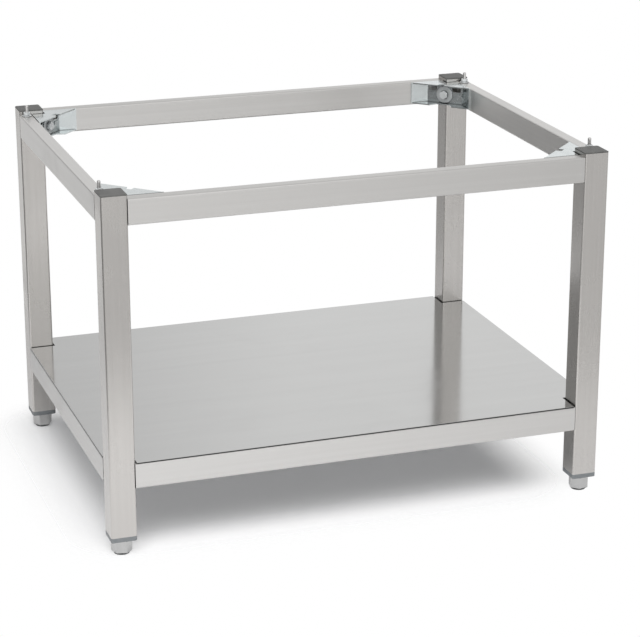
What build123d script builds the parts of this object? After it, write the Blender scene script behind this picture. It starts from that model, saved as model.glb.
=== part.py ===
from build123d import *
from math import sqrt
import os

os.makedirs("parts", exist_ok=True)

# Overall size of the stand, over the outer faces of the legs
stand_width = 800.0
stand_depth = 600.0

# Square leg tube
leg_size = 40.0
leg_wall = 1.5
leg_radius = 3.0
leg_length = 530.0

# Rectangular rail tube, used for the top frame and under the shelf
rail_height = 40.0
rail_thickness = 20.0
rail_wall = 1.5
rail_radius = 2.5
rail_drop = 7.0

# Shelf panel and the folded stiffener below it
shelf_height = 150.0
shelf_sheet = 1.5
shelf_edge = 0.6
shelf_notch_gap = 2.5
stiffener_sheet = 1.2
stiffener_depth = 24.0
stiffener_floor = 36.0
stiffener_slope = 4.0
stiffener_flange = 22.0
stiffener_bend = 2.5
stiffener_end_gap = 0.5

# Plastic cap in the top of each leg
cap_head = 2.0
cap_edge = 0.6
cap_depth = 10.0

# Plastic insert in the bottom of each leg, with its threaded bush
insert_rim = 7.5
insert_edge = 0.8
insert_depth = 30.0
insert_boss_wall = 3.0
insert_floor = 2.5
bush_diameter = 15.0
bush_length = 28.0

# Shared by both plastic plugs
plug_wall = 2.0
plug_fin = 1.5
plug_fin_height = 1.2
plug_fin_count = 3
plug_gap = 0.1

# Adjustable hexagon foot on a round pad
foot_height = 24.5
foot_flats = 28.0
foot_wall = 3.0
foot_plate = 4.0
foot_bevel = 1.8
foot_top_gap = 0.5
foot_turns = {"front_left": 47.0, "front_right": 44.0, "back_right": 35.0, "back_left": 31.0}
pad_height = 2.0
pad_inset = 0.4
pad_edge = 0.6
pad_gap = 0.3
stud_diameter = 10.0
stud_chamfer = 1.0
stud_gap = 0.25
stud_spare = 3.0

# Corner bracket, pressed from plate
bracket_plate = 2.0
bracket_run = 59.0
bracket_height = 37.5
bracket_bend = 4.0
bracket_leg_gap = 2.0
web_standoff = 5.9
top_notch_width = 12.0
top_notch_depth = 9.0
lip_notch_mouth = 41.0
lip_notch_floor = 24.0
lip_notch_depth = 13.5
bead_length = 13.0
bead_width = 6.0
bead_height = 1.2
bead_centre = 25.0
relief_length = 16.0
relief_height = 9.0
relief_corner = 2.0
relief_centre = 22.0
relief_rise = 10.0

# Clamp bolt, washer and corner nut at each bracket
bolt_diameter = 8.0
bolt_head_flats = 13.0
bolt_head_height = 5.3
bolt_head_chamfer = 0.6
bolt_hole_gap = 0.5
bolt_tip_chamfer = 0.8
washer_diameter = 30.0
washer_thickness = 2.0
corner_nut_leg = 17.0
corner_nut_height = 18.0
corner_nut_gap = 0.1
corner_nut_nose = 2.5

# Locating pin with its washer and two nuts
pin_diameter = 6.0
pin_spigot_diameter = 5.5
pin_thread_show = 0.8
pin_height = 18.0
pin_tip = 2.4
pin_tail = 1.5
pin_leg_gap = 9.0
pin_hole_gap = 0.3
pin_washer_diameter = 16.0
pin_washer_thickness = 1.6
pin_nut_flats = 10.0
pin_nut_height = 5.0
pin_nut_chamfer = 0.5

# Turned fits between pieces that don't move against each other
seat_gap = 0.05

# Levels worked out from the sizes above
leg_bottom = foot_height + insert_rim
leg_top = leg_bottom + leg_length
top_level = leg_top + cap_head - rail_drop
shelf_level = shelf_height - shelf_sheet
rail_levels = {"top": top_level, "lower": shelf_level}
bolt_levels = {name: level - rail_height / 2 for name, level in rail_levels.items()}

# Sections worked out from the sizes above
half_width = stand_width / 2
half_depth = stand_depth / 2
leg_bore = leg_size - 2 * leg_wall
leg_bore_radius = leg_radius - leg_wall
leg_centre = (leg_size / 2, leg_size / 2)
stud_top = leg_bottom + insert_depth + stud_spare
insert_hole = stud_diameter / 2 + 2 * stud_gap

# Distances from the stand's outer corner along its diagonal
web_back = leg_size * sqrt(2) + web_standoff
web_face = web_back + bracket_plate
bracket_edge = (rail_thickness + leg_size + bracket_run) / sqrt(2)
nut_corner = leg_size - leg_wall - corner_nut_gap
nut_back = (2 * nut_corner - corner_nut_leg) / sqrt(2)

# Each corner has a plane at floor level on its outer edge, with both axes pointing into the stand
corners = {
    "front_left": Plane(origin=(-half_width, -half_depth, 0), x_dir=(1, 0, 0)),
    "front_right": Plane(origin=(half_width, -half_depth, 0), x_dir=(0, 1, 0)),
    "back_right": Plane(origin=(half_width, half_depth, 0), x_dir=(-1, 0, 0)),
    "back_left": Plane(origin=(-half_width, half_depth, 0), x_dir=(0, -1, 0)),
}

# Each side has its start point, the direction into the stand, the direction along the rail and a length
rail_run_x = stand_width - 2 * leg_size
rail_run_y = stand_depth - 2 * leg_size
sides = {
    "front": ((-rail_run_x / 2, -half_depth, 0), (0, 1, 0), (1, 0, 0), rail_run_x),
    "back": ((rail_run_x / 2, half_depth, 0), (0, -1, 0), (-1, 0, 0), rail_run_x),
    "left": ((-half_width, rail_run_y / 2, 0), (1, 0, 0), (0, -1, 0), rail_run_y),
    "right": ((half_width, -rail_run_y / 2, 0), (-1, 0, 0), (0, 1, 0), rail_run_y),
}

# The pins stand on the middle of the side rails, just past the legs
pin_spread_x = stand_width - rail_thickness
pin_spread_y = rail_run_y - 2 * pin_leg_gap


def save(piece, name):
    """Label a finished piece and write it to its own file."""
    piece.part.label = name
    export_step(piece.part, f"parts/{name}.step")


def across(corner, level, reach):
    """Plane square to a corner's diagonal, facing the middle of the stand."""
    inward = (corner.x_dir + corner.y_dir).normalized()
    return Plane(
        origin=corner.origin + inward * reach + Vector(0, 0, level),
        x_dir=Vector(0, 0, 1).cross(inward),
        z_dir=inward,
    )


def diagonal_point(reach, offset):
    """Point of a corner plane from its distances along and beside the diagonal."""
    return ((reach - offset) / sqrt(2), (reach + offset) / sqrt(2))


def facing(piece, plane):
    """Edges round the face of the newest feature that lies furthest along a plane's normal."""
    return piece.faces(Select.LAST).sort_by(Axis(plane.origin, plane.z_dir))[-1].edges()


def plug_section(size):
    """Hollow square section of a plastic plug."""
    RectangleRounded(size, size, leg_bore_radius)
    Rectangle(size - 2 * plug_wall, size - 2 * plug_wall, mode=Mode.SUBTRACT)


def plug_fin_levels(start, depth):
    """Heights of the thin fins that grip the inside of the leg."""
    pitch = depth / (plug_fin_count + 1)
    return [start + pitch * (place + 1) for place in range(plug_fin_count)]


fin_size = leg_bore - 2 * plug_gap
sleeve_size = fin_size - 2 * plug_fin

# Legs, with a hole through the inner corner for each clamp bolt
for place, corner in corners.items():
    with BuildPart() as leg:
        with BuildSketch(corner.offset(leg_bottom)):
            with Locations(leg_centre):
                RectangleRounded(leg_size, leg_size, leg_radius)
                RectangleRounded(leg_bore, leg_bore, leg_bore_radius, mode=Mode.SUBTRACT)
        extrude(amount=leg_length)
        for level in bolt_levels.values():
            with BuildSketch(across(corner, level, nut_back)):
                Circle(bolt_diameter / 2 + bolt_hole_gap)
            extrude(amount=web_back - nut_back, mode=Mode.SUBTRACT)
    save(leg, f"leg_{place}")

# Caps, a thin head over a finned sleeve
for place, corner in corners.items():
    with BuildPart() as cap:
        with BuildSketch(corner.offset(leg_top)):
            with Locations(leg_centre):
                RectangleRounded(leg_size, leg_size, leg_radius)
        extrude(amount=cap_head)
        chamfer(cap.faces().sort_by(Axis.Z)[-1].edges(), cap_edge)
        with BuildSketch(corner.offset(leg_top - cap_depth)):
            with Locations(leg_centre):
                plug_section(sleeve_size)
        extrude(amount=cap_depth)
        for level in plug_fin_levels(leg_top - cap_depth, cap_depth):
            with BuildSketch(corner.offset(level)):
                with Locations(leg_centre):
                    plug_section(fin_size)
            extrude(amount=-plug_fin_height)
    save(cap, f"leg_cap_{place}")

# Foot inserts, a rim under the leg, a finned sleeve and a ribbed boss round the bush
for place, corner in corners.items():
    with BuildPart() as insert:
        with BuildSketch(corner.offset(foot_height)):
            with Locations(leg_centre):
                RectangleRounded(leg_size, leg_size, leg_radius)
        extrude(amount=insert_rim)
        chamfer(insert.faces().sort_by(Axis.Z)[0].edges(), insert_edge)
        with BuildSketch(corner.offset(leg_bottom)):
            with Locations(leg_centre):
                plug_section(sleeve_size)
                Rectangle(sleeve_size - plug_wall, plug_wall)
                Rectangle(plug_wall, sleeve_size - plug_wall)
                Circle(bush_diameter / 2 + insert_boss_wall)
        extrude(amount=insert_depth)
        for level in plug_fin_levels(leg_bottom, insert_depth):
            with BuildSketch(corner.offset(level)):
                with Locations(leg_centre):
                    plug_section(fin_size)
            extrude(amount=plug_fin_height)
        with BuildSketch(corner.offset(foot_height)):
            with Locations(leg_centre):
                Circle(insert_hole)
        extrude(amount=insert_rim + insert_depth, mode=Mode.SUBTRACT)
        with BuildSketch(corner.offset(foot_height + insert_floor)):
            with Locations(leg_centre):
                Circle(bush_diameter / 2 + seat_gap)
        extrude(amount=insert_rim + insert_depth, mode=Mode.SUBTRACT)
    save(insert, f"foot_insert_{place}")

# Threaded bushes, bored clear of the stud
for place, corner in corners.items():
    with BuildPart() as bush:
        with BuildSketch(corner.offset(foot_height + insert_floor)):
            with Locations(leg_centre):
                Circle(bush_diameter / 2)
                Circle(stud_diameter / 2 + stud_gap, mode=Mode.SUBTRACT)
        extrude(amount=bush_length)
    save(bush, f"foot_bush_{place}")

# Foot pads, a low disc with a spigot up inside the foot body
foot_bore = foot_flats / 2 - foot_wall
foot_top = foot_height - foot_top_gap
plate_underside = foot_top - foot_plate
for place, corner in corners.items():
    with BuildPart() as pad:
        with BuildSketch(corner):
            with Locations(leg_centre):
                Circle(foot_flats / 2 - foot_bevel - pad_inset)
        extrude(amount=pad_height)
        fillet(pad.faces().sort_by(Axis.Z)[0].edges(), pad_edge)
        with BuildSketch(corner.offset(pad_height)):
            with Locations(leg_centre):
                Circle(foot_bore - pad_gap)
        extrude(amount=plate_underside - pad_gap - pad_height)
    save(pad, f"foot_pad_{place}")

# Foot bodies, an upturned hexagon cup with a bevelled rim, turned on its pad as it was left after levelling
foot_seat = pad_height + pad_gap
foot_corner = foot_flats / sqrt(3)
for place, corner in corners.items():
    with BuildPart() as body:
        with BuildSketch(corner.offset(foot_seat)):
            with Locations(leg_centre):
                Circle(foot_corner)
        extrude(amount=foot_top - foot_seat)
        chamfer(body.faces().sort_by(Axis.Z)[-1].edges(), foot_corner - foot_flats / 2)
        with BuildSketch(corner.offset(foot_seat)):
            with Locations(leg_centre):
                RegularPolygon(foot_corner, 6, rotation=foot_turns[place])
        extrude(amount=foot_top - foot_seat, mode=Mode.INTERSECT)
        chamfer(body.faces().sort_by(Axis.Z)[0].edges(), foot_bevel)
        with BuildSketch(corner.offset(plate_underside)):
            with Locations(leg_centre):
                Circle(foot_bore)
        extrude(amount=-plate_underside, mode=Mode.SUBTRACT)
        with BuildSketch(corner.offset(plate_underside)):
            with Locations(leg_centre):
                Circle(stud_diameter / 2 + seat_gap)
        extrude(amount=foot_plate, mode=Mode.SUBTRACT)
    save(body, f"foot_body_{place}")

# Foot studs, fixed in the plate of the foot body and screwed up into the bush
for place, corner in corners.items():
    with BuildPart() as stud:
        with BuildSketch(corner.offset(plate_underside)):
            with Locations(leg_centre):
                Circle(stud_diameter / 2)
        extrude(amount=stud_top - plate_underside)
        chamfer(stud.faces().sort_by(Axis.Z)[-1].edges(), stud_chamfer)
    save(stud, f"foot_stud_{place}")

# Rails, butted between the legs, with pin holes in the top of the upper side rails
for frame_name, level in rail_levels.items():
    for side, (start, inward, along, length) in sides.items():
        with BuildPart() as rail:
            with BuildSketch(Plane(origin=start, x_dir=inward, z_dir=along)):
                with Locations((rail_thickness / 2, level - rail_height / 2)):
                    RectangleRounded(rail_thickness, rail_height, rail_radius)
                    RectangleRounded(
                        rail_thickness - 2 * rail_wall,
                        rail_height - 2 * rail_wall,
                        rail_radius - rail_wall,
                        mode=Mode.SUBTRACT,
                    )
            extrude(amount=length)
            if frame_name == "top" and side in ("left", "right"):
                with BuildSketch(Plane.XY.offset(level)):
                    with GridLocations(pin_spread_x, pin_spread_y, 2, 2):
                        Circle(pin_diameter / 2 + pin_hole_gap)
                extrude(amount=-2 * rail_wall, mode=Mode.SUBTRACT)
        save(rail, f"{frame_name}_rail_{side}")

# Shelf panel, notched round the legs
leg_notch = leg_size + shelf_notch_gap
with BuildPart() as shelf:
    with BuildSketch(Plane.XY.offset(shelf_level)):
        Rectangle(stand_width, stand_depth)
        with GridLocations(stand_width - leg_notch, stand_depth - leg_notch, 2, 2):
            Rectangle(leg_notch, leg_notch, mode=Mode.SUBTRACT)
    extrude(amount=shelf_sheet)
    fillet(shelf.edges().group_by(Axis.Z)[-1], shelf_edge)
save(shelf, "shelf_panel")

# Stiffener, a hat section along the underside of the shelf panel
stiffener_length = stand_width - 2 * rail_thickness - 2 * stiffener_end_gap
hat_shoulder = stiffener_floor / 2 + stiffener_slope
with BuildPart() as stiffener:
    with BuildSketch(Plane.YZ.offset(-stiffener_length / 2)):
        with BuildLine():
            FilletPolyline(
                (-hat_shoulder - stiffener_flange, shelf_level),
                (-hat_shoulder, shelf_level),
                (-stiffener_floor / 2, shelf_level - stiffener_depth),
                (stiffener_floor / 2, shelf_level - stiffener_depth),
                (hat_shoulder, shelf_level),
                (hat_shoulder + stiffener_flange, shelf_level),
                radius=stiffener_bend,
            )
            offset(amount=stiffener_sheet, side=Side.RIGHT)
        make_face()
    extrude(amount=stiffener_length)
save(stiffener, "shelf_stiffener")

# Corner brackets, a top plate, a web with relief openings, tabs on the rails and a bottom lip
web_end = web_back * sqrt(2) - rail_thickness
plate_end = leg_size + bracket_run
leg_clear = leg_size + bracket_leg_gap
for frame_name, level in rail_levels.items():
    for place, corner in corners.items():
        seat = across(corner, bolt_levels[frame_name], web_back)
        with BuildPart() as bracket:
            with BuildSketch(corner.offset(level)):
                with BuildLine():
                    Polyline(
                        (rail_thickness, leg_clear),
                        (rail_thickness, plate_end),
                        (plate_end, rail_thickness),
                        (leg_clear, rail_thickness),
                        (leg_clear, leg_clear),
                        close=True,
                    )
                make_face()
                with BuildLine():
                    Polyline(
                        diagonal_point(bracket_edge + top_notch_depth, top_notch_width / 2),
                        diagonal_point(bracket_edge - top_notch_depth, top_notch_width / 2),
                        diagonal_point(bracket_edge - top_notch_depth, -top_notch_width / 2),
                        diagonal_point(bracket_edge + top_notch_depth, -top_notch_width / 2),
                        close=True,
                    )
                make_face(mode=Mode.SUBTRACT)
            extrude(amount=-bracket_plate)
            with BuildSketch(corner.offset(level)):
                with BuildLine():
                    FilletPolyline(
                        (plate_end, rail_thickness),
                        (web_end, rail_thickness),
                        (rail_thickness, web_end),
                        (rail_thickness, plate_end),
                        radius=bracket_bend,
                    )
                    offset(amount=bracket_plate, side=Side.RIGHT)
                make_face()
            extrude(amount=-bracket_height)
            with BuildSketch(corner.offset(level - bracket_height)):
                with BuildLine():
                    Polyline(
                        (web_end, rail_thickness),
                        (plate_end, rail_thickness),
                        diagonal_point(bracket_edge, -lip_notch_mouth / 2),
                        diagonal_point(bracket_edge - lip_notch_depth, -lip_notch_floor / 2),
                        diagonal_point(bracket_edge - lip_notch_depth, lip_notch_floor / 2),
                        diagonal_point(bracket_edge, lip_notch_mouth / 2),
                        (rail_thickness, plate_end),
                        (rail_thickness, web_end),
                        close=True,
                    )
                make_face()
            extrude(amount=bracket_plate)
            with BuildSketch(seat):
                with Locations((-bead_centre, 0), (bead_centre, 0)):
                    SlotOverall(bead_length, bead_width)
            extrude(amount=bracket_plate + bead_height)
            with BuildSketch(seat):
                Circle(bolt_diameter / 2 + bolt_hole_gap)
                with Locations((-relief_centre, relief_rise), (relief_centre, relief_rise)):
                    RectangleRounded(relief_length, relief_height, relief_corner)
            extrude(amount=bracket_plate, mode=Mode.SUBTRACT)
        save(bracket, f"{frame_name}_bracket_{place}")

# Clamp bolts, washers and corner nuts, one of each at every bracket
head_seat = web_face + washer_thickness
for frame_name, level in bolt_levels.items():
    with BuildPart() as washers:
        for corner in corners.values():
            with BuildSketch(across(corner, level, web_face)):
                Circle(washer_diameter / 2)
                Circle(bolt_diameter / 2 + bolt_hole_gap, mode=Mode.SUBTRACT)
            extrude(amount=washer_thickness)
    save(washers, f"{frame_name}_clamp_washers")

    with BuildPart() as bolts:
        for corner in corners.values():
            head = across(corner, level, head_seat)
            with BuildSketch(head):
                RegularPolygon(bolt_head_flats / 2, 6, major_radius=False)
            extrude(amount=bolt_head_height)
            chamfer(facing(bolts, head), bolt_head_chamfer)
            with BuildSketch(head):
                Circle(bolt_diameter / 2)
            extrude(amount=nut_back - head_seat)
            chamfer(facing(bolts, -head), bolt_tip_chamfer)
    save(bolts, f"{frame_name}_clamp_bolts")

    with BuildPart() as nuts:
        for corner in corners.values():
            with BuildSketch(corner.offset(level - corner_nut_height / 2)):
                with BuildLine():
                    Polyline(
                        (nut_corner - corner_nut_leg, nut_corner),
                        (nut_corner - corner_nut_nose, nut_corner),
                        (nut_corner, nut_corner - corner_nut_nose),
                        (nut_corner, nut_corner - corner_nut_leg),
                        close=True,
                    )
                make_face()
            extrude(amount=corner_nut_height)
            with BuildSketch(across(corner, level, nut_back)):
                Circle(bolt_diameter / 2 + seat_gap)
            extrude(amount=web_back - nut_back, mode=Mode.SUBTRACT)
    save(nuts, f"{frame_name}_corner_nuts")

# Locating pins on the side rails, a threaded shank with a smooth spigot above the nut
nut_seat = top_level + pin_washer_thickness
inner_nut_seat = top_level - rail_wall
pin_foot = inner_nut_seat - pin_nut_height - pin_tail
pin_shoulder = nut_seat + pin_nut_height + pin_thread_show
pin_points = {
    "front_left": (-pin_spread_x / 2, -pin_spread_y / 2),
    "front_right": (pin_spread_x / 2, -pin_spread_y / 2),
    "back_right": (pin_spread_x / 2, pin_spread_y / 2),
    "back_left": (-pin_spread_x / 2, pin_spread_y / 2),
}
for place, point in pin_points.items():
    with BuildPart() as pin:
        with BuildSketch(Plane.XY.offset(pin_foot)):
            with Locations(point):
                Circle(pin_diameter / 2)
        extrude(amount=pin_shoulder - pin_foot)
        with BuildSketch(Plane.XY.offset(pin_shoulder)):
            with Locations(point):
                Circle(pin_spigot_diameter / 2)
        extrude(amount=top_level + pin_height - pin_shoulder)
        fillet(pin.faces().sort_by(Axis.Z)[-1].edges(), pin_tip)
    save(pin, f"locating_pin_{place}")

# Washers and nuts that hold the pins, above and below the top wall of the rail
with BuildPart() as pin_washers:
    with BuildSketch(Plane.XY.offset(top_level)):
        with GridLocations(pin_spread_x, pin_spread_y, 2, 2):
            Circle(pin_washer_diameter / 2)
            Circle(pin_diameter / 2 + pin_hole_gap, mode=Mode.SUBTRACT)
    extrude(amount=pin_washer_thickness)
save(pin_washers, "pin_washers")

for name, seat_level, height in (
    ("pin_lock_nuts", nut_seat, pin_nut_height),
    ("pin_inner_nuts", inner_nut_seat, -pin_nut_height),
):
    with BuildPart() as pin_nuts:
        with BuildSketch(Plane.XY.offset(seat_level)):
            with GridLocations(pin_spread_x, pin_spread_y, 2, 2):
                RegularPolygon(pin_nut_flats / 2, 6, major_radius=False)
        extrude(amount=height)
        chamfer(pin_nuts.faces().filter_by(Axis.Z).edges(), pin_nut_chamfer)
        with BuildSketch(Plane.XY.offset(seat_level)):
            with GridLocations(pin_spread_x, pin_spread_y, 2, 2):
                Circle(pin_diameter / 2 + seat_gap)
        extrude(amount=height, mode=Mode.SUBTRACT)
    save(pin_nuts, name)
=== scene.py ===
import math

import bmesh
import bpy
from mathutils import Matrix, Vector


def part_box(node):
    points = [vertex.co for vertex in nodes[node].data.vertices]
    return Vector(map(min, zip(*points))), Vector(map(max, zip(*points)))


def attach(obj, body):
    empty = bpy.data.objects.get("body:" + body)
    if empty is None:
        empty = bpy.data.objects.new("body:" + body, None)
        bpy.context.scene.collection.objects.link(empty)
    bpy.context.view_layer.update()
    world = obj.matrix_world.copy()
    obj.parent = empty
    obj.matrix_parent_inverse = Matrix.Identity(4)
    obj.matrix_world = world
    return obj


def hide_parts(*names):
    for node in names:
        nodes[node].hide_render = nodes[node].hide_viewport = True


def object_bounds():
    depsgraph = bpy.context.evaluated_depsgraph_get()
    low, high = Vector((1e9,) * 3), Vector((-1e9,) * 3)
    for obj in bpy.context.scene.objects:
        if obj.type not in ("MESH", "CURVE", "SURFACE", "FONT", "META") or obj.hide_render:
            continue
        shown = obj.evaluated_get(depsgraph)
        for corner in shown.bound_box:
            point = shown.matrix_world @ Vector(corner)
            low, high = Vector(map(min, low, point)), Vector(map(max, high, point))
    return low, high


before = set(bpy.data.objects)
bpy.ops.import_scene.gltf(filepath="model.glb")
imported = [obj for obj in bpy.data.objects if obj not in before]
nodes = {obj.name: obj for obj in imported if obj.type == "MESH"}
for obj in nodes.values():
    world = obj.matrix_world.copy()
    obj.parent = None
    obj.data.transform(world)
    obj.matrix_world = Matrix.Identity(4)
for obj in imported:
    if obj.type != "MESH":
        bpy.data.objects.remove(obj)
cad_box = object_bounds()
scene = bpy.context.scene
scene.view_settings.view_transform = "Standard"

MM = 0.001
PLACES = ("front_left", "front_right", "back_right", "back_left")
RAIL_FRAMES = ("top", "lower")

# Sizes repeated from the part's source, in millimetres
LEG_SIZE = 40.0
LEG_WALL = 1.5
LEG_RADIUS = 3.0
BRACKET_PLATE = 2.0
WEB_STANDOFF = 5.9
BOLT_DIAMETER = 8.0
BOLT_FLATS = 13.0
BOLT_HEAD = 5.3
BOLT_HOLE_GAP = 0.5
WASHER_THICKNESS = 2.0
WASHER_DIAMETER = 30.0
PIN_DIAMETER = 6.0
PIN_NUT_FLATS = 10.0
PIN_WASHER_DIAMETER = 16.0
STUD_DIAMETER = 10.0
STUD_PITCH = 1.5
CAP_DEPTH = 10.0

# Sizes of the finer meshes alone, in millimetres
BOLT_PITCH = 1.25
BOLT_LENGTH = 24.0
PIN_NUT_GAP = 0.05
PIN_WASHER_GAP = 0.3


def node_box(name):
    """Lowest and highest corner of a CAD node, in millimetres."""
    low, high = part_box(name)
    return low / MM, high / MM


def node_middle(name):
    low, high = node_box(name)
    return (low + high) / 2


# Shader helpers

def feed(tree, given, socket):
    """Link an input to the output that is given, or set it to a value."""
    if isinstance(given, bpy.types.NodeSocket):
        tree.links.new(given, socket)
    elif socket.type == "RGBA":
        socket.default_value = (*given, 1)
    else:
        socket.default_value = given


def put(tree, kind, inputs=None, **settings):
    """Add a shader node with its settings and inputs."""
    made = tree.nodes.new("ShaderNode" + kind)
    for key, value in settings.items():
        setattr(made, key, value)
    for socket, given in (inputs or {}).items():
        feed(tree, given, made.inputs[socket])
    return made


def empty_tree(owner):
    """Shader tree of a material or a world, with nothing in it."""
    owner.use_nodes = True
    owner.node_tree.nodes.clear()
    return owner.node_tree


def maths(tree, operation, *terms):
    return put(tree, "Math", dict(enumerate(terms)), operation=operation).outputs[0]


def vector_maths(tree, operation, *terms):
    return put(tree, "VectorMath", dict(enumerate(terms)), operation=operation).outputs[0]


def add_share(tree, base, extra, share):
    """Value with a share of another one added."""
    return maths(tree, "MULTIPLY_ADD", extra, share, base)


def blend(tree, first, second, share):
    """Two values weighed against each other, with a share for the first."""
    return add_share(tree, maths(tree, "MULTIPLY", second, 1 - share), first, share)


def between(tree, factor, low=0.0, high=1.0, start=0.0, end=1.0):
    """Value that runs evenly from low to high as the factor goes from start to end."""
    return put(tree, "MapRange", {0: factor, 1: start, 2: end, 3: low, 4: high}).outputs[0]


def soft_step(tree, factor, start, end):
    """Mask that goes softly from 0 to 1 as the factor goes from start to end."""
    return put(tree, "MapRange", {0: factor, 1: start, 2: end, 3: 0.0, 4: 1.0},
               interpolation_type="SMOOTHSTEP").outputs[0]


def mix_value(tree, factor, first, second):
    """Value that goes from the first to the second as the factor goes from 0 to 1."""
    return put(tree, "Mix", {0: factor, 2: first, 3: second}).outputs[0]


def mix_colour(tree, factor, first, second):
    """Colour that goes from the first to the second as the factor goes from 0 to 1."""
    return put(tree, "Mix", {0: factor, 6: first, 7: second}, data_type="RGBA").outputs[2]


# Surface effects that the materials share

def effect_group(name, defaults, outputs):
    """Start a shader node group, where an input with three default numbers is a vector."""
    tree = bpy.data.node_groups.new(name, "ShaderNodeTree")
    for socket, default in defaults.items():
        kind = "NodeSocketVector" if isinstance(default, tuple) else "NodeSocketFloat"
        tree.interface.new_socket(name=socket, in_out="INPUT", socket_type=kind).default_value = default
    for socket in outputs:
        tree.interface.new_socket(name=socket, in_out="OUTPUT", socket_type="NodeSocketFloat")
    return tree, tree.nodes.new("NodeGroupInput").outputs, tree.nodes.new("NodeGroupOutput").inputs


def brush_grain_group():
    """Long brushed lines with wider soft bands, stretched by a scale for each axis."""
    tree, given, result = effect_group(
        "brush_grain",
        {"Vector": (0, 0, 0), "Line Scale": (1, 1, 1), "Band Scale": (1, 1, 1)},
        ("Lines", "Bands"),
    )
    fine = vector_maths(tree, "MULTIPLY", given["Vector"], given["Line Scale"])
    lines = put(tree, "TexNoise", {"Vector": fine, "Scale": 1.0, "Detail": 3.0, "Roughness": 0.65})
    wide = vector_maths(tree, "MULTIPLY", given["Vector"], given["Band Scale"])
    bands = put(tree, "TexNoise", {"Vector": wide, "Scale": 1.0, "Detail": 2.0, "Roughness": 0.5})
    feed(tree, lines.outputs["Fac"], result["Lines"])
    feed(tree, bands.outputs["Fac"], result["Bands"])
    return tree


def handling_marks_group():
    """Soft smudges and a few hair scratches left by handling."""
    tree, given, result = effect_group(
        "handling_marks",
        {"Vector": (0, 0, 0), "Smudge Scale": 9.0, "Scratch Scale": 60.0},
        ("Smudges", "Scratches"),
    )
    cloud = put(tree, "TexNoise", {"Vector": given["Vector"], "Scale": given["Smudge Scale"],
                                   "Detail": 4.0, "Roughness": 0.6, "Distortion": 0.6})
    smudges = soft_step(tree, cloud.outputs["Fac"], start=0.45, end=0.75)
    leaning = put(tree, "Mapping", {"Vector": given["Vector"], "Rotation": (0.4, 0.7, 0.9),
                                    "Scale": (1.0, 0.05, 0.6)})
    hairs = put(tree, "TexVoronoi", {"Vector": leaning.outputs[0], "Scale": given["Scratch Scale"],
                                     "Randomness": 1.0}, feature="DISTANCE_TO_EDGE")
    thin = between(tree, hairs.outputs["Distance"], low=1.0, high=0.0, start=0.0, end=0.02)
    patches = put(tree, "TexNoise", {"Vector": given["Vector"], "Scale": 14.0, "Detail": 1.0})
    patch_mask = between(tree, patches.outputs["Fac"], start=0.55, end=0.72)
    feed(tree, smudges, result["Smudges"])
    feed(tree, maths(tree, "MULTIPLY", thin, patch_mask), result["Scratches"])
    return tree


def plating_bloom_group():
    """Cloudy tone of zinc plating with small crystal patches."""
    tree, given, result = effect_group(
        "plating_bloom",
        {"Vector": (0, 0, 0), "Cloud Scale": 60.0, "Crystal Scale": 420.0},
        ("Cloud", "Crystals"),
    )
    cloud = put(tree, "TexNoise", {"Vector": given["Vector"], "Scale": given["Cloud Scale"],
                                   "Detail": 4.0, "Roughness": 0.55, "Distortion": 0.8})
    cells = put(tree, "TexVoronoi", {"Vector": given["Vector"], "Scale": given["Crystal Scale"],
                                     "Randomness": 1.0})
    grey = put(tree, "RGBToBW", {0: cells.outputs["Color"]})
    feed(tree, cloud.outputs["Fac"], result["Cloud"])
    feed(tree, grey.outputs[0], result["Crystals"])
    return tree


def moulded_grain_group():
    """Fine spark grain of a plastic mould, with a slow change of tone."""
    tree, given, result = effect_group(
        "moulded_grain",
        {"Vector": (0, 0, 0), "Grain Scale": 1600.0, "Tone Scale": 55.0},
        ("Grain", "Tone"),
    )
    grain = put(tree, "TexNoise", {"Vector": given["Vector"], "Scale": given["Grain Scale"],
                                   "Detail": 2.0, "Roughness": 0.7})
    tone = put(tree, "TexNoise", {"Vector": given["Vector"], "Scale": given["Tone Scale"], "Detail": 3.0})
    feed(tree, grain.outputs["Fac"], result["Grain"])
    feed(tree, tone.outputs["Fac"], result["Tone"])
    return tree


def joint_shade_group():
    """How open a surface lies: low in the narrow joints between pieces, where the colour takes painted
    shade.
    """
    tree, given, result = effect_group(
        "joint_shade",
        {"Reach": 0.005, "Dark From": 0.1, "Clear From": 0.5},
        ("Open",),
    )
    near = put(tree, "AmbientOcclusion", {"Distance": given["Reach"]}, samples=8)
    clear = between(tree, near.outputs["AO"], start=given["Dark From"], end=given["Clear From"])
    feed(tree, clear, result["Open"])
    return tree


BRUSH_GRAIN = brush_grain_group()
HANDLING_MARKS = handling_marks_group()
PLATING_BLOOM = plating_bloom_group()
MOULDED_GRAIN = moulded_grain_group()
JOINT_SHADE = joint_shade_group()

# Tone of painted shade in narrow joints and on upright shelf edges, and the shares of open view where it
# clears
PAINTED_SHADE_TONE = (0.05, 0.05, 0.05)
CLOSE_SHADE = (0.1, 0.5)
MIDDLE_SHADE = (0.3, 0.75)
WIDE_SHADE = (0.5, 0.95)

# Brushed lines to the metre, across and along the brushing, and its bands along it
LINES_ACROSS = 2600.0
LINES_ALONG = 9.0
BANDS_ALONG = 2.2


# Materials

def start_material(name):
    """New material with an empty shader tree and its object coordinates."""
    material = bpy.data.materials.new(name)
    tree = empty_tree(material)
    return material, tree, put(tree, "TexCoord").outputs["Object"]


def finish_material(tree, inputs):
    """Add the surface shader with its inputs."""
    surface = put(tree, "BsdfPrincipled", inputs)
    put(tree, "OutputMaterial", {"Surface": surface.outputs[0]})


def use_group(tree, group, inputs):
    """Outputs of a shared effect."""
    return put(tree, "Group", inputs, node_tree=group).outputs


def painted_joint_shade(tree, colour, shade):
    """Colour with painted shade in narrow joints, fading out between two shares of open view."""
    opened = use_group(tree, JOINT_SHADE, {"Dark From": shade[0], "Clear From": shade[1]})["Open"]
    return mix_colour(tree, opened, PAINTED_SHADE_TONE, colour)


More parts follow.
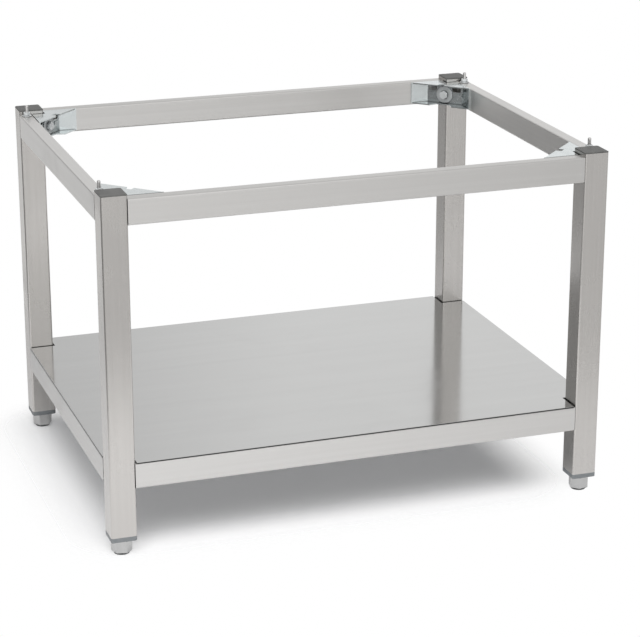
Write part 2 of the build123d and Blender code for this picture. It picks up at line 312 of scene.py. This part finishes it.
def facing_up(tree):
    """How far a face looks up, from -1 to 1."""
    return put(tree, "SeparateXYZ", {0: put(tree, "NewGeometry").outputs["Normal"]}).outputs["Z"]


def painted_shade_below(tree, colour, underside_shade):
    """Colour with a darker one painted on the faces that look down, as painted shade."""
    return mix_colour(tree, between(tree, facing_up(tree), start=-0.2, end=-0.6), colour, underside_shade)


def painted_edge_shade(tree, colour):
    """Colour with painted shade on the upright faces, for the shadow line at a sheet's edge."""
    tilt = maths(tree, "ABSOLUTE", facing_up(tree))
    return mix_colour(tree, between(tree, tilt, start=0.3, end=0.5), PAINTED_SHADE_TONE, colour)


def bumps(tree, height, strength, distance):
    return put(tree, "Bump", {"Height": height, "Strength": strength, "Distance": distance}).outputs[0]


def axis_scale(along, fine, slow):
    """Scale for each axis, slow along the brushed direction and fine across it."""
    return tuple(slow if axis == along else fine for axis in "XYZ")


def brushed_steel(name, along, dark, light, rough, stretch, band_width=0.006, grain_depth=0.00001,
                  underside_shade=None, shade=CLOSE_SHADE, painted_edges=False):
    """Stainless steel brushed along one axis, with painted shade in its joints.

    The faces that look down take the underside shade colour as painted shade, where one is given.
    With painted edges, the upright faces are painted dark as shade.
    """
    material, tree, place = start_material(name)
    grain = use_group(tree, BRUSH_GRAIN, {
        "Vector": place,
        "Line Scale": axis_scale(along, LINES_ACROSS, LINES_ALONG),
        "Band Scale": axis_scale(along, 1.0 / band_width, BANDS_ALONG),
    })
    marks = use_group(tree, HANDLING_MARKS, {"Vector": place})
    colour = mix_colour(tree, blend(tree, grain["Lines"], grain["Bands"], share=0.45), dark, light)
    if underside_shade:
        colour = painted_shade_below(tree, colour, underside_shade)
    if painted_edges:
        colour = painted_edge_shade(tree, colour)
    gloss = between(tree, grain["Lines"], rough - 0.05, rough + 0.05)
    scored = add_share(tree, grain["Lines"], marks["Scratches"], share=-0.25)
    finish_material(tree, {
        "Metallic": 1.0,
        "Anisotropic": stretch,
        "Tangent": put(tree, "Tangent", direction_type="RADIAL", axis=along).outputs[0],
        "Base Color": painted_joint_shade(tree, colour, shade),
        "Roughness": add_share(tree, gloss, marks["Smudges"], share=0.05),
        "Normal": bumps(tree, scored, strength=0.15, distance=grain_depth),
    })
    return material


def zinc_plated(name, dark, light, rough, metallic=1.0):
    """Bright zinc plating with a cold cast and painted shade in its joints; less metallic where the plating
    is dull and white.
    """
    material, tree, place = start_material(name)
    bloom = use_group(tree, PLATING_BLOOM, {"Vector": place})
    marks = use_group(tree, HANDLING_MARKS, {"Vector": place, "Smudge Scale": 40.0})
    tone = blend(tree, bloom["Cloud"], bloom["Crystals"], share=0.65)
    gloss = between(tree, tone, rough + 0.08, rough - 0.08)
    finish_material(tree, {
        "Metallic": metallic,
        "Base Color": painted_joint_shade(tree, mix_colour(tree, tone, dark, light), MIDDLE_SHADE),
        "Roughness": add_share(tree, gloss, marks["Smudges"], share=0.1),
        "Normal": bumps(tree, bloom["Crystals"], strength=0.12, distance=0.00002),
    })
    return material


def turned_steel(name, dark, light, rough):
    """Steel turned on a lathe, with fine rings round the upright axis."""
    material, tree, place = start_material(name)
    rings = use_group(tree, BRUSH_GRAIN, {
        "Vector": place,
        "Line Scale": (30.0, 30.0, 3200.0),
        "Band Scale": (20.0, 20.0, 260.0),
    })
    marks = use_group(tree, HANDLING_MARKS, {"Vector": place, "Smudge Scale": 70.0})
    tone = blend(tree, rings["Lines"], rings["Bands"], share=0.5)
    gloss = between(tree, rings["Lines"], rough - 0.06, rough + 0.06)
    finish_material(tree, {
        "Metallic": 1.0,
        "Anisotropic": 0.4,
        "Base Color": mix_colour(tree, tone, dark, light),
        "Roughness": add_share(tree, gloss, marks["Smudges"], share=0.08),
        "Normal": bumps(tree, rings["Lines"], strength=0.3, distance=0.00001),
    })
    return material


def moulded_plastic(name, dark, light, rough):
    """Moulded plastic with a fine spark grain and pale scuffs."""
    material, tree, place = start_material(name)
    grain = use_group(tree, MOULDED_GRAIN, {"Vector": place})
    marks = use_group(tree, HANDLING_MARKS, {"Vector": place, "Scratch Scale": 220.0})
    scuffed = add_share(tree, grain["Tone"], marks["Scratches"], share=0.5)
    finish_material(tree, {
        "Specular IOR Level": 0.45,
        "Base Color": mix_colour(tree, scuffed, dark, light),
        "Roughness": between(tree, grain["Tone"], rough - 0.08, rough + 0.08),
        "Normal": bumps(tree, grain["Grain"], strength=0.35, distance=0.00004),
    })
    return material


# Dark and light tone, roughness and stretch of the rails' brushing
RAIL_LOOK = ((0.59, 0.58, 0.565), (0.70, 0.69, 0.675), 0.34, 0.7)

LEG_STEEL = brushed_steel("brushed_leg_steel", "Z", (0.53, 0.512, 0.492), (0.65, 0.63, 0.608), 0.25, 0.35)
CROSS_STEEL = brushed_steel("brushed_cross_rail_steel", "X", *RAIL_LOOK)
SIDE_STEEL = brushed_steel("brushed_side_rail_steel", "Y", *RAIL_LOOK)
# Lower rails: the same steel with a wider painted shade in their joints, for the shadow under the shelf's
# edge
LOW_CROSS_SHADED_STEEL = brushed_steel("brushed_low_cross_rail_steel_wide_painted_shade", "X", *RAIL_LOOK, shade=WIDE_SHADE)
LOW_SIDE_SHADED_STEEL = brushed_steel("brushed_low_side_rail_steel_wide_painted_shade", "Y", *RAIL_LOOK, shade=WIDE_SHADE)
# The shelf's upright edges are painted dark, as painted shade for the shadow line along its edge
SHELF_STEEL = brushed_steel("satin_shelf_steel", "X", (0.52, 0.52, 0.515), (0.58, 0.58, 0.575), 0.13, 0.4,
                            band_width=0.02, grain_depth=0.000004, painted_edges=True)
STIFFENER_STEEL = brushed_steel("folded_stiffener_steel", "X", (0.52, 0.52, 0.51), (0.62, 0.62, 0.61),
                                0.32, 0.4)
# The foot's downward faces are painted dark, as painted shade
FOOT_STEEL = brushed_steel("drawn_hexagon_steel", "Z", (0.45, 0.45, 0.445), (0.60, 0.60, 0.595), 0.16, 0.35,
                           underside_shade=(0.10, 0.105, 0.105))
BRACKET_ZINC = zinc_plated("zinc_plated_bracket", (0.60, 0.64, 0.65), (0.76, 0.80, 0.80), 0.2)
FASTENER_ZINC = zinc_plated("zinc_plated_fastener", (0.66, 0.68, 0.69), (0.88, 0.90, 0.90), 0.3,
                            metallic=0.6)
WASHER_ZINC = zinc_plated("zinc_plated_washer", (0.50, 0.52, 0.53), (0.70, 0.72, 0.72), 0.4,
                          metallic=0.75)
PIN_STEEL = turned_steel("turned_pin_steel", (0.66, 0.65, 0.64), (0.80, 0.79, 0.78), 0.36)
STUD_STEEL = turned_steel("turned_stud_steel", (0.58, 0.58, 0.58), (0.74, 0.74, 0.74), 0.3)
CAP_PLASTIC = moulded_plastic("grey_cap_plastic", (0.03, 0.03, 0.029), (0.15, 0.15, 0.145), 0.5)
INSERT_PLASTIC = moulded_plastic("grey_insert_plastic", (0.19, 0.205, 0.215), (0.26, 0.275, 0.285), 0.45)
PAD_PLASTIC = moulded_plastic("grey_pad_plastic", (0.09, 0.095, 0.095), (0.14, 0.145, 0.145), 0.5)


def finish_node(name, material):
    """Give a CAD node its material in every slot."""
    held = nodes[name].data.materials
    if not held:
        held.append(material)
    for place in range(len(held)):
        held[place] = material


# Finish by the start of a node's name, the first that fits
NODE_FINISHES = (
    ("leg_cap_", CAP_PLASTIC),
    ("leg_", LEG_STEEL),
    ("top_rail_front", CROSS_STEEL),
    ("top_rail_back", CROSS_STEEL),
    ("lower_rail_front", LOW_CROSS_SHADED_STEEL),
    ("lower_rail_back", LOW_CROSS_SHADED_STEEL),
    ("top_rail_", SIDE_STEEL),
    ("lower_rail_", LOW_SIDE_SHADED_STEEL),
    ("shelf_panel", SHELF_STEEL),
    ("shelf_stiffener", STIFFENER_STEEL),
    ("foot_insert_", INSERT_PLASTIC),
    ("foot_pad_", PAD_PLASTIC),
    ("foot_bush_", FASTENER_ZINC),
    ("foot_", FOOT_STEEL),
    ("locating_pin_", PIN_STEEL),
    ("top_bracket_", BRACKET_ZINC),
    ("lower_bracket_", BRACKET_ZINC),
)
for node_name in nodes:
    chosen = next((finish for start, finish in NODE_FINISHES if node_name.startswith(start)), FASTENER_ZINC)
    finish_node(node_name, chosen)


# Mesh helpers, all in millimetres until a piece is finished

HEX_POINTS = 72
HEX_CONE = math.tan(math.radians(30))
HEX_FACE_SHARE = 0.96
WASHER_POINTS = 64
CORNER_STEPS = 6

# Angles in degrees up to which an edge is shaded round
HEX_SMOOTH = 30
CAP_SMOOTH = 40
ROUND_SMOOTH = 50

# Steepness of a thread's flanks, and the part of the rise that its flat root takes
THREAD_FLANK = 1.5
THREAD_CUT = 0.25

# Leg cap: its sleeve, the shares of the depth with a fin, its edges, and the inset and drop of its crown
CAP_ROOM = 0.1
CAP_FIN_REACH = 1.5
CAP_SLEEVE_WALL = 2.0
CAP_TIP_INSET = 0.5
CAP_TIP_RISE = 0.6
CAP_FINS = (0.25, 0.5, 0.75)
CAP_BEVEL = 0.1
CAP_EDGE = 0.9
CAP_CROWN_RADIUS = 1.2
CAP_CROWN = ((0.2, 0.55), (0.7, 0.33), (2.0, 0.2), (6.0, 0.07), (11.0, 0.0), (16.0, 0.0))


def ring_stack(work, rings, closed=True):
    """Skin a row of rings that all have the same number of points, with a face over each end if closed."""
    made = [[work.verts.new(point) for point in ring] for ring in rings]
    for lower, upper in zip(made, made[1:]):
        for place in range(len(lower)):
            after = (place + 1) % len(lower)
            work.faces.new((lower[place], lower[after], upper[after], upper[place]))
    if closed:
        work.faces.new(reversed(made[0]))
        work.faces.new(made[-1])


def circle_ring(radius, level, count=HEX_POINTS):
    step = math.tau / count
    return [Vector((radius * math.cos(i * step), radius * math.sin(i * step), level)) for i in range(count)]


def hex_reach(angle, flats):
    """Distance from the middle of a hexagon to its edge."""
    return flats / 2 / math.cos((angle + math.pi / 6) % (math.pi / 3) - math.pi / 6)


def hex_ring(flats, level, limit, cone):
    """Ring on a hexagon whose corners are cut by a shallow cone from the given level."""
    ring = []
    for i in range(HEX_POINTS):
        angle = i * math.tau / HEX_POINTS
        reach = hex_reach(angle, flats)
        drop = max(0.0, reach - limit) * cone
        ring.append(Vector((reach * math.cos(angle), reach * math.sin(angle), level + drop)))
    return ring


def thread_radius(phase, crest, root):
    """Radius of a thread profile for a phase from 0 to 1."""
    rise = abs(phase - 0.5) * 2
    return root + (crest - root) * min(1.0, max(0.0, rise * THREAD_FLANK - THREAD_CUT))


def threaded_rod(work, radius, pitch, start, end, depth_share=0.6, count=28, per_turn=6, chamfer=0.8):
    """Rod along Z with a cut thread and chamfered ends."""
    root = radius - depth_share * pitch
    levels = max(2, round((end - start) / pitch * per_turn))
    rings = []
    for step in range(levels + 1):
        level = start + (end - start) * step / levels
        limit = radius - max(0.0, chamfer - min(level - start, end - level))
        ring = []
        for i in range(count):
            angle = i * math.tau / count
            phase = (level / pitch - i / count) % 1.0
            reach = min(limit, thread_radius(phase, radius, root))
            ring.append(Vector((reach * math.cos(angle), reach * math.sin(angle), level)))
        rings.append(ring)
    ring_stack(work, rings)


def hex_bolt(work, flats, head, radius, pitch, length, seat=0.15, seat_cone=0.4, dish=0.12,
             dish_share=0.72):
    """Hex bolt with its head above Z 0 and its threaded shank below."""
    limit = flats / 2 * HEX_FACE_SHARE
    ring_stack(work, [
        circle_ring(limit, 0.0),
        hex_ring(flats, seat, limit, HEX_CONE * seat_cone),
        hex_ring(flats, head, limit, -HEX_CONE),
        circle_ring(limit, head),
        circle_ring(limit * dish_share, head - dish),
    ])
    threaded_rod(work, radius, pitch, -length, 0.0)


def hex_nut(work, flats, height, bore, lead_in=0.5):
    """Hex nut from Z 0 up, with both faces cut by a shallow cone."""
    limit = flats / 2 * HEX_FACE_SHARE
    rings = [
        circle_ring(bore + lead_in, 0.0),
        circle_ring(limit, 0.0),
        hex_ring(flats, 0.0, limit, HEX_CONE),
        hex_ring(flats, height, limit, -HEX_CONE),
        circle_ring(limit, height),
        circle_ring(bore + lead_in, height),
        circle_ring(bore, height - lead_in),
        circle_ring(bore, lead_in),
    ]
    ring_stack(work, rings + rings[:1], closed=False)


def pressed_washer(work, radius, bore, thickness, burr=0.1):
    """Flat washer with a rounded upper rim."""
    rim = thickness * 0.3
    rim_middle = rim * 0.3
    bore_rim = rim * 0.6
    profile = (
        (bore, 0.0),
        (radius - burr, 0.0),
        (radius, burr),
        (radius, thickness - rim),
        (radius - rim_middle, thickness - rim_middle),
        (radius - rim, thickness),
        (bore + bore_rim, thickness),
        (bore, thickness - bore_rim),
    )
    rings = [circle_ring(reach, level, WASHER_POINTS) for reach, level in profile]
    ring_stack(work, rings + rings[:1], closed=False)


def square_ring(size, radius, level):
    """Ring round a square with rounded corners."""
    middle = size / 2 - radius
    ring = []
    for turn in range(4):
        base = turn * math.pi / 2
        centre = Vector((middle, middle, 0))
        centre.rotate(Matrix.Rotation(base, 3, "Z"))
        for step in range(CORNER_STEPS + 1):
            angle = base + step * math.pi / 2 / CORNER_STEPS
            ring.append(centre + Vector((radius * math.cos(angle), radius * math.sin(angle), level)))
    return ring


def leg_cap(work, head, depth):
    """Crowned cap from Z 0 up, with a finned sleeve that reaches down into the leg."""
    bore = LEG_SIZE - 2 * (LEG_WALL + CAP_ROOM)
    sleeve = bore - 2 * CAP_FIN_REACH
    hollow = sleeve - 2 * CAP_SLEEVE_WALL
    hollow_radius = 1.0
    sleeve_radius = 1.5
    rings = [
        square_ring(hollow / 2, hollow_radius, 0.0),
        square_ring(hollow, hollow_radius, 0.0),
        square_ring(hollow, hollow_radius, -depth),
        square_ring(sleeve - 2 * CAP_TIP_INSET, sleeve_radius, -depth),
        square_ring(sleeve, sleeve_radius, CAP_TIP_RISE - depth),
    ]
    for fin in CAP_FINS:
        level = -depth * (1 - fin)
        for size, rise in ((sleeve, -1.2), (bore, -0.3), (bore, 0.0), (sleeve, 0.05)):
            rings.append(square_ring(size, sleeve_radius, level + rise))
    rings += [
        square_ring(sleeve, sleeve_radius, 0.0),
        square_ring(LEG_SIZE - 2 * CAP_BEVEL, LEG_RADIUS, 0.0),
        square_ring(LEG_SIZE, LEG_RADIUS, CAP_BEVEL),
        square_ring(LEG_SIZE, LEG_RADIUS, head - CAP_EDGE),
    ]
    for inset, drop in CAP_CROWN:
        radius = max(CAP_CROWN_RADIUS, LEG_RADIUS - inset * 0.3)
        rings.append(square_ring(LEG_SIZE - 2 * inset, radius, head - drop))
    ring_stack(work, rings)


def make_piece(name, work, material, body, replaced, smooth_angle):
    """Turn finished mesh work, in millimetres, into a piece that rides on a body."""
    bmesh.ops.transform(work, matrix=Matrix.Scale(MM, 4), verts=work.verts)
    bmesh.ops.recalc_face_normals(work, faces=work.faces)
    mesh = bpy.data.meshes.new(name)
    work.to_mesh(mesh)
    work.free()
    mesh.materials.append(material)
    mesh.shade_smooth()
    mesh.set_sharp_from_angle(angle=math.radians(smooth_angle))
    piece = bpy.data.objects.new(name, mesh)
    scene.collection.objects.link(piece)
    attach(piece, body)
    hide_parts(*replaced)


def placed(work, matrix, shape, *sizes):
    """Make a shape in its own frame, then move it to its place."""
    part = bmesh.new()
    shape(part, *sizes)
    bmesh.ops.transform(part, matrix=matrix, verts=part.verts)
    moved = bpy.data.meshes.new("moved")
    part.to_mesh(moved)
    part.free()
    work.from_mesh(moved)
    bpy.data.meshes.remove(moved)


def corner_frames(level, reach):
    """Frame at each corner, with Z along the diagonal into the stand."""
    low, high = cad_box[0] / MM, cad_box[1] / MM
    up = Vector((0, 0, 1))
    frames = []
    for x, y in ((-1, -1), (1, -1), (1, 1), (-1, 1)):
        outer = Vector((low.x if x < 0 else high.x, low.y if y < 0 else high.y, level))
        inward = Vector((-x, -y, 0)).normalized()
        turn = Matrix((up.cross(inward), up, inward)).transposed().to_4x4()
        frames.append(Matrix.Translation(outer + inward * reach) @ turn)
    return frames


# Clamp bolts and washers at the corner brackets
web_face = LEG_SIZE * math.sqrt(2) + WEB_STANDOFF + BRACKET_PLATE
head_seat = web_face + WASHER_THICKNESS
for frame_name in RAIL_FRAMES:
    level = node_middle(f"{frame_name}_clamp_washers").z
    bolt_work = bmesh.new()
    washer_work = bmesh.new()
    for place in corner_frames(level, head_seat):
        placed(bolt_work, place, hex_bolt,
               BOLT_FLATS, BOLT_HEAD, BOLT_DIAMETER / 2, BOLT_PITCH, BOLT_LENGTH)
    for place in corner_frames(level, web_face):
        placed(washer_work, place, pressed_washer,
               WASHER_DIAMETER / 2, BOLT_DIAMETER / 2 + BOLT_HOLE_GAP, WASHER_THICKNESS)
    make_piece(f"{frame_name}_hex_bolts", bolt_work, FASTENER_ZINC, "frame",
               [f"{frame_name}_clamp_bolts"], HEX_SMOOTH)
    make_piece(f"{frame_name}_broad_washers", washer_work, WASHER_ZINC, "frame",
               [f"{frame_name}_clamp_washers"], ROUND_SMOOTH)

# Nuts and washers under the locating pins
nut_low, nut_high = node_box("pin_lock_nuts")
washer_low, washer_high = node_box("pin_washers")
nut_work = bmesh.new()
washer_work = bmesh.new()
for place in PLACES:
    stand = node_middle(f"locating_pin_{place}")
    nut_seat = Matrix.Translation((stand.x, stand.y, nut_low.z))
    placed(nut_work, nut_seat, hex_nut,
           PIN_NUT_FLATS, nut_high.z - nut_low.z, PIN_DIAMETER / 2 + PIN_NUT_GAP)
    washer_seat = Matrix.Translation((stand.x, stand.y, washer_low.z))
    placed(washer_work, washer_seat, pressed_washer,
           PIN_WASHER_DIAMETER / 2, PIN_DIAMETER / 2 + PIN_WASHER_GAP, washer_high.z - washer_low.z)
make_piece("pin_hex_nuts", nut_work, FASTENER_ZINC, "frame", ["pin_lock_nuts"], HEX_SMOOTH)
make_piece("pin_flat_washers", washer_work, FASTENER_ZINC, "frame", ["pin_washers"],
           ROUND_SMOOTH)

# Crowned caps in the tops of the legs
for place in PLACES:
    low, high = node_box(f"leg_cap_{place}")
    middle = node_middle(f"leg_cap_{place}")
    head = high.z - low.z - CAP_DEPTH
    work = bmesh.new()
    placed(work, Matrix.Translation((middle.x, middle.y, low.z + CAP_DEPTH)), leg_cap, head, CAP_DEPTH)
    make_piece(f"crowned_cap_{place}", work, CAP_PLASTIC, "frame", [f"leg_cap_{place}"],
               CAP_SMOOTH)

# Threaded studs of the feet
for place in PLACES:
    low, high = node_box(f"foot_stud_{place}")
    middle = node_middle(f"foot_stud_{place}")
    work = bmesh.new()
    placed(work, Matrix.Translation((middle.x, middle.y, 0.0)), threaded_rod, STUD_DIAMETER / 2, STUD_PITCH,
           low.z, high.z)
    make_piece(f"threaded_stud_{place}", work, STUD_STEEL, f"foot_{place}",
               [f"foot_stud_{place}"], ROUND_SMOOTH)


# Studio, in metres

LAMP_PLACE = (-0.8, -1.8, 2.7)
LAMP_TARGET = (0.0, 0.0, 0.3)
LAMP_SIZE = 2.2
LAMP_POWER = 96.0

# The studio that the metal reflects, by degrees round the stand from the back towards its right side:
# brightness of the walls above eye level, of the walls below it, and of the floor far out
ROOM_TONES = (
    (-180, 1.3, 1.4, 0.56),
    (-140, 0.60, 0.80, 0.42),
    (-112, 0.30, 0.12, 0.12),
    (-90, 0.40, 0.34, 0.34),
    (-21, 0.42, 0.11, 0.34),
    (-16, 0.95, 0.78, 1.0),
    (0, 0.90, 0.78, 1.0),
    (12, 0.76, 0.75, 0.95),
    (18, 0.97, 0.97, 0.95),
    (60, 0.90, 0.90, 0.95),
    (100, 0.60, 0.60, 0.60),
    (150, 0.70, 0.45, 0.74),
    (157, 1.0, 0.75, 0.68),
    (163, 1.3, 1.3, 0.58),
    (170, 1.3, 1.45, 0.56),
    (180, 1.3, 1.4, 0.56),
)
CEILING_TONE = 0.75
FILL_LIGHT = 0.22

# Heights of a view, from -1 straight down to 1 straight up, over which floor, walls and ceiling change over
LOW_WALL_FADE = (-0.27, -0.14)
HIGH_WALL_FADE = (0.05, 0.25)
CEILING_FADE = (0.4, 0.85)

# The floor, and the distances over which its shadow and its picture in the metal fade out
FLOOR_HALF = 9.0
FLOOR_COLOUR = (0.88, 0.88, 0.885)
GLOW_COLOUR = (0.97, 0.98, 1)
FLOOR_GLOW = 0.14
SHADOW_MIDDLE = (-0.04, 0.03, 0.0)
SHADOW_INSET = (0.09, 0.07)
SHADOW_HALF = (cad_box[1].x - SHADOW_INSET[0], cad_box[1].y - SHADOW_INSET[1], 0.0)
SHADOW_FADE = (0.0, 0.15)
REFLECTION_FADE = (0.75, 1.3)

# Camera at the photograph's viewing angle, with its angles in degrees
SENSOR_WIDTH = 36.0
LENS = 123.137
CAMERA_PLACE = (-1.0870, -3.2389, 1.3939)
CAMERA_DOWN = 18.640
CAMERA_TURN = -19.097


def soft_lamp():
    """Square lamp above the front of the stand, which the metal doesn't reflect."""
    data = bpy.data.lights.new("overhead_softbox", "AREA")
    data.size = LAMP_SIZE
    data.energy = LAMP_POWER
    lamp = bpy.data.objects.new("overhead_softbox", data)
    lamp.location = LAMP_PLACE
    lamp.rotation_euler = (Vector(LAMP_TARGET) - lamp.location).to_track_quat("-Z", "Y").to_euler()
    lamp.visible_glossy = False
    scene.collection.objects.link(lamp)


def ray_kinds(tree):
    """Masks of the camera's own rays, and of the rays that show the studio in metal or glass."""
    ray = put(tree, "LightPath").outputs
    return ray["Is Camera Ray"], maths(tree, "MAXIMUM", ray["Is Glossy Ray"], ray["Is Transmission Ray"])


def room_ramp(tree, share, column):
    """Tone of the studio for a share of a full turn, from one column of the table."""
    ramp = put(tree, "ValToRGB", {0: share})
    stops = ramp.color_ramp.elements
    ends = {0.0: stops[0], 1.0: stops[1]}
    for row in ROOM_TONES:
        place = (row[0] + 180) / 360
        stop = ends.get(place) or stops.new(place)
        stop.color = (row[column], row[column], row[column], 1)
    return put(tree, "RGBToBW", {0: ramp.outputs["Color"]}).outputs[0]


def white_studio():
    """World that is white to the camera and a room of greys to the metal, and fills in the shadows."""
    world = bpy.data.worlds.new("white_studio")
    scene.world = world
    tree = empty_tree(world)
    camera_ray, seen = ray_kinds(tree)
    way = put(tree, "SeparateXYZ", {0: put(tree, "TexCoord").outputs["Generated"]}).outputs
    bearing = maths(tree, "ARCTAN2", way["X"], way["Y"])
    share = between(tree, bearing, start=-math.pi, end=math.pi)
    upper, lower, ground = (room_ramp(tree, share, column) for column in (1, 2, 3))
    room = mix_value(tree, soft_step(tree, way["Z"], *LOW_WALL_FADE), ground, lower)
    room = mix_value(tree, soft_step(tree, way["Z"], *HIGH_WALL_FADE), room, upper)
    room = mix_value(tree, soft_step(tree, way["Z"], *CEILING_FADE), room, CEILING_TONE)
    metal_view = mix_value(tree, seen, FILL_LIGHT, room)
    strength = mix_value(tree, camera_ray, metal_view, 1.0)
    light = put(tree, "Background", {"Color": (1, 1, 1), "Strength": strength})
    put(tree, "OutputWorld", {"Surface": light.outputs[0]})


def white_floor():
    """Pale floor that keeps the shadow near the stand and fades into the studio further out.

    It is open from below.
    """
    work = bmesh.new()
    bmesh.ops.create_grid(work, x_segments=1, y_segments=1, size=FLOOR_HALF)
    mesh = bpy.data.meshes.new("floor")
    work.to_mesh(mesh)
    work.free()
    floor = bpy.data.objects.new("floor", mesh)
    scene.collection.objects.link(floor)
    material, tree, spot = start_material("pale_floor")
    camera_ray, seen = ray_kinds(tree)
    side = vector_maths(tree, "ABSOLUTE", vector_maths(tree, "SUBTRACT", spot, SHADOW_MIDDLE))
    outside = vector_maths(tree, "MAXIMUM", vector_maths(tree, "SUBTRACT", side, SHADOW_HALF), (0, 0, 0))
    shares = []
    for rays, reach, fade in ((camera_ray, outside, SHADOW_FADE), (seen, spot, REFLECTION_FADE)):
        away = put(tree, "VectorMath", {0: reach}, operation="LENGTH").outputs["Value"]
        shares.append(maths(tree, "MULTIPLY", rays, soft_step(tree, away, *fade)))
    from_below = put(tree, "NewGeometry").outputs["Backfacing"]
    faded = maths(tree, "MAXIMUM", maths(tree, "ADD", *shares), from_below)
    glow = maths(tree, "MULTIPLY", maths(tree, "MAXIMUM", camera_ray, seen), FLOOR_GLOW)
    matt = put(tree, "BsdfDiffuse", {"Color": FLOOR_COLOUR})
    lifted = put(tree, "Emission", {"Color": GLOW_COLOUR, "Strength": glow})
    near = put(tree, "AddShader", {0: matt.outputs[0], 1: lifted.outputs[0]})
    open_studio = put(tree, "BsdfTransparent")
    mixed = put(tree, "MixShader", {0: faded, 1: near.outputs[0], 2: open_studio.outputs[0]})
    put(tree, "OutputMaterial", {"Surface": mixed.outputs[0]})
    mesh.materials.append(material)


def set_camera():
    data = bpy.data.cameras.new("camera")
    data.sensor_width = SENSOR_WIDTH
    data.lens = LENS
    camera = bpy.data.objects.new("camera", data)
    camera.location = CAMERA_PLACE
    camera.rotation_euler = (math.radians(90 - CAMERA_DOWN), 0.0, math.radians(CAMERA_TURN))
    scene.collection.objects.link(camera)
    scene.camera = camera


soft_lamp()
white_studio()
white_floor()
set_camera()
